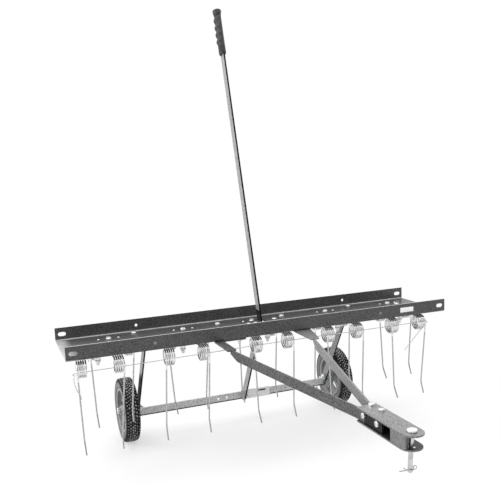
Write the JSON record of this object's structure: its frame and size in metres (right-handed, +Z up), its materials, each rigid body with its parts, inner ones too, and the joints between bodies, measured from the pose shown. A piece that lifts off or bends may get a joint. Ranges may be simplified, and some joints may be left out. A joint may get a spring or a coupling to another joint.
{
  "type": "tow-behind dethatcher",
  "caption": "Tow-behind lawn dethatcher: weight tray on wheels with rows of double spring tines below, a tall lift lever and a V-shaped drawbar that ends in a pin hitch.",
  "frame": {"origin": "centre of the top face of the tray's floor", "axes": "+X along the tray to the right, +Y to the rear, away from the hitch, +Z up"},
  "size_m": [1.22, 1.2594, 1.425],
  "materials": {
    "tray_paint": "dark grey hammered paint",
    "dark_grey_paint": "dark grey hammered paint",
    "light_grey_paint": "light grey hammered paint",
    "lever_steel": "light grey, satin",
    "spring_wire": "bright spring wire",
    "retaining_wire": "drawn wire",
    "zinc_fasteners": "zinc plated",
    "pin_steel": "zinc plated",
    "tyre_rubber": "matt, with block tread",
    "hub_plastic": "moulded, satin",
    "grip_plastic": "matt, moulded"
  },
  "bodies": {
    "frame": {"tray": "tray_paint", "tine_front_1": "spring_wire", "tine_front_2": "spring_wire", "tine_front_3": "spring_wire", "tine_front_4": "spring_wire", "tine_front_5": "spring_wire", "tine_rear_1": "spring_wire", "tine_rear_2": "spring_wire", "tine_rear_3": "spring_wire", "tine_rear_4": "spring_wire", "tine_rear_5": "spring_wire", "tine_bolt_front_1": "zinc_fasteners", "tine_bolt_front_2": "zinc_fasteners", "tine_bolt_front_3": "zinc_fasteners", "tine_bolt_front_4": "zinc_fasteners", "tine_bolt_front_5": "zinc_fasteners", "tine_bolt_rear_1": "zinc_fasteners", "tine_bolt_rear_2": "zinc_fasteners", "tine_bolt_rear_3": "zinc_fasteners", "tine_bolt_rear_4": "zinc_fasteners", "tine_bolt_rear_5": "zinc_fasteners", "retaining_wire_front": "retaining_wire", "retaining_wire_rear_left": "retaining_wire", "retaining_wire_rear_right": "retaining_wire", "pivot_bracket_left": "dark_grey_paint", "bracket_bolt_left": "zinc_fasteners", "pivot_bolt_left": "zinc_fasteners", "drawbar_left": "dark_grey_paint", "drawbar_bolt_left_rear": "zinc_fasteners", "drawbar_bolt_left_front": "zinc_fasteners", "pivot_bracket_right": "dark_grey_paint", "bracket_bolt_right": "zinc_fasteners", "pivot_bolt_right": "zinc_fasteners", "drawbar_right": "light_grey_paint", "drawbar_bolt_right_rear": "zinc_fasteners", "drawbar_bolt_right_front": "zinc_fasteners", "hitch_bracket": "dark_grey_paint", "hitch_top_bolt_1": "zinc_fasteners", "hitch_top_bolt_2": "zinc_fasteners", "hitch_side_bolt_1": "zinc_fasteners", "hitch_side_bolt_2": "zinc_fasteners"},
    "lift": {"lift_lever": "lever_steel", "grip": "grip_plastic", "lever_foot_bolt": "zinc_fasteners", "wheel_arm_left": "light_grey_paint", "wheel_arm_right": "light_grey_paint", "crossbar": "light_grey_paint", "crossbar_bolt_left": "zinc_fasteners", "crossbar_bolt_right": "zinc_fasteners", "axle_bolt_left": "zinc_fasteners", "axle_bolt_right": "zinc_fasteners"},
    "left_wheel": {"tyre_left": "tyre_rubber", "hub_left": "hub_plastic"},
    "right_wheel": {"tyre_right": "tyre_rubber", "hub_right": "hub_plastic"},
    "hitch_pin": {"hitch_pin": "pin_steel"},
    "hair_cotter": {"hair_cotter": "pin_steel"}
  },
  "joints": [
    {"name": "lift_pivot", "type": "hinge", "parent": "frame", "child": "lift", "pos_m": [0, 0.085, -0.032], "axis": [1, 0, 0], "range_deg": [0, 41]},
    {"name": "left_wheel_spin", "type": "hinge", "parent": "lift", "child": "left_wheel", "pos_m": [-0.387, 0.235, -0.2865], "axis": [1, 0, 0], "continuous": true},
    {"name": "right_wheel_spin", "type": "hinge", "parent": "lift", "child": "right_wheel", "pos_m": [0.387, 0.235, -0.2865], "axis": [1, 0, 0], "continuous": true},
    {"name": "hitch_pin_lift", "type": "slide", "parent": "frame", "child": "hitch_pin", "axis": [0.0698, 0, 0.9976], "range_m": [0, 0.032]},
    {"name": "hair_cotter_pull", "type": "slide", "parent": "hitch_pin", "child": "hair_cotter", "axis": [0.9976, 0, -0.0698], "range_m": [0, 0.035]}
  ]
}
